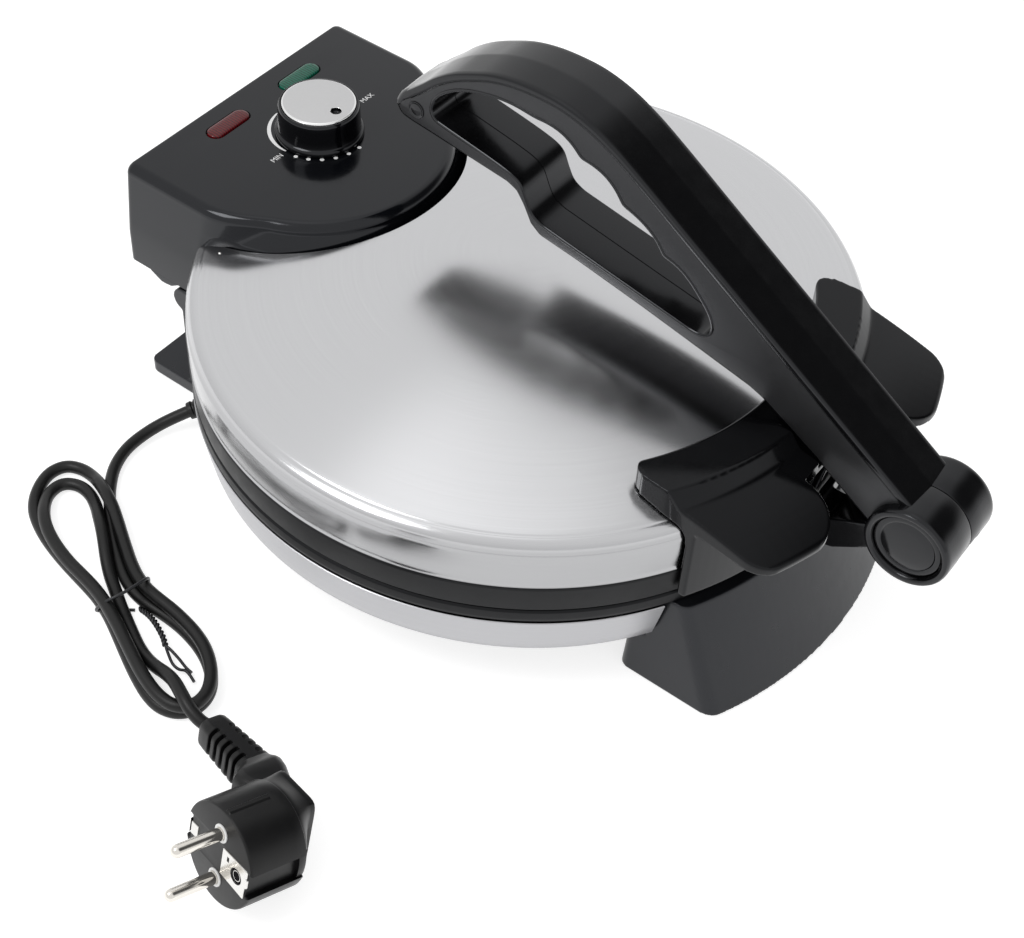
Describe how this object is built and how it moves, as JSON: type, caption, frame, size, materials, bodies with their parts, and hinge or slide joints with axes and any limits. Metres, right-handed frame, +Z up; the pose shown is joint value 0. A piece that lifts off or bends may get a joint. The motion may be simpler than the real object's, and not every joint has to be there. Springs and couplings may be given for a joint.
{
  "type": "electric roti maker",
  "caption": "Electric roti maker with a domed brushed steel lid, a long press lever, a rear control box with dial and lamps, and a hanked mains cord.",
  "frame": {"origin": "On the surface it stands on, under the middle of the appliance's outline without its cord", "axes": "+Z up, +Y to the rear where the control box is, -Y to the front where the lever's barrel is, +X to the right seen from the front"},
  "size_m": [0.4685, 0.4189, 0.231],
  "materials": {
    "lid_steel": "brushed",
    "shell_steel": "brushed",
    "bright_steel": "polished",
    "element_steel": "satin",
    "inner_aluminium": "satin",
    "pan_painted": "satin",
    "plate_coated": "satin",
    "rim_plastic": "satin",
    "foot_plastic": "satin",
    "box_plastic": "gloss",
    "bracket_plastic": "gloss",
    "lever_plastic": "gloss",
    "cap_plastic": "gloss",
    "knob_plastic": "satin",
    "knob_disc_metal": "satin",
    "lens_red": "gloss",
    "lens_green": "gloss",
    "inner_ceramic": "matte",
    "pad_rubber": "matte",
    "cord_rubber": "satin",
    "plug_plastic": "satin",
    "tie_plastic": "satin"
  },
  "bodies": {
    "base": {"base_shell": "shell_steel", "lower_rim": "rim_plastic", "lower_plate": "plate_coated", "lower_heater": "element_steel", "base_reflector": "inner_aluminium", "base_pan": "pan_painted", "front_foot": "foot_plastic", "rear_housing": "foot_plastic", "pad_front_left": "pad_rubber", "pad_front_right": "pad_rubber", "pad_rear_left": "pad_rubber", "pad_rear_right": "pad_rubber", "hinge_pin_left": "bright_steel", "hinge_pin_right": "bright_steel", "terminal_block": "inner_ceramic", "cord_gland": "cord_rubber", "cord": "cord_rubber", "cord_hank": "cord_rubber", "twist_tie": "tie_plastic", "cord_end": "cord_rubber", "plug_relief": "plug_plastic", "plug_body": "plug_plastic", "plug_pin_1": "bright_steel", "plug_pin_2": "bright_steel", "plug_earth_1": "bright_steel", "plug_earth_2": "bright_steel"},
    "lid": {"upper_plate": "plate_coated", "upper_heater": "element_steel", "upper_reflector": "inner_aluminium", "upper_rim": "rim_plastic", "lid_shell": "lid_steel", "control_box": "box_plastic", "box_floor": "box_plastic", "hinge_arm_left": "bright_steel", "hinge_arm_right": "bright_steel", "thermostat": "element_steel", "lamp_red": "lens_red", "lamp_green": "lens_green", "lamp_holder_red": "inner_ceramic", "lamp_holder_green": "inner_ceramic", "front_bracket": "bracket_plastic", "lever_pin": "bright_steel"},
    "knob": {"knob_skirt": "knob_plastic", "knob_disc": "knob_disc_metal", "knob_shaft": "bright_steel"},
    "lever": {"lever_left": "lever_plastic", "lever_right": "lever_plastic", "barrel_cap_left": "cap_plastic", "barrel_cap_right": "cap_plastic", "nose_cap_left": "cap_plastic", "nose_cap_right": "cap_plastic"}
  },
  "joints": [
    {"name": "lid_hinge", "type": "hinge", "parent": "base", "child": "lid", "pos_m": [0, 0.175, 0.065], "axis": [-1, 0, 0], "range_deg": [0, 90]},
    {"name": "lever_pivot", "type": "hinge", "parent": "lid", "child": "lever", "pos_m": [0, -0.1885, 0.0973], "axis": [1, 0, 0], "range_deg": [0, 95]},
    {"name": "knob_turn", "type": "hinge", "parent": "lid", "child": "knob", "pos_m": [0.0035, 0.1565, 0.13], "axis": [0, 0, 1], "range_deg": [-270, 0]}
  ]
}
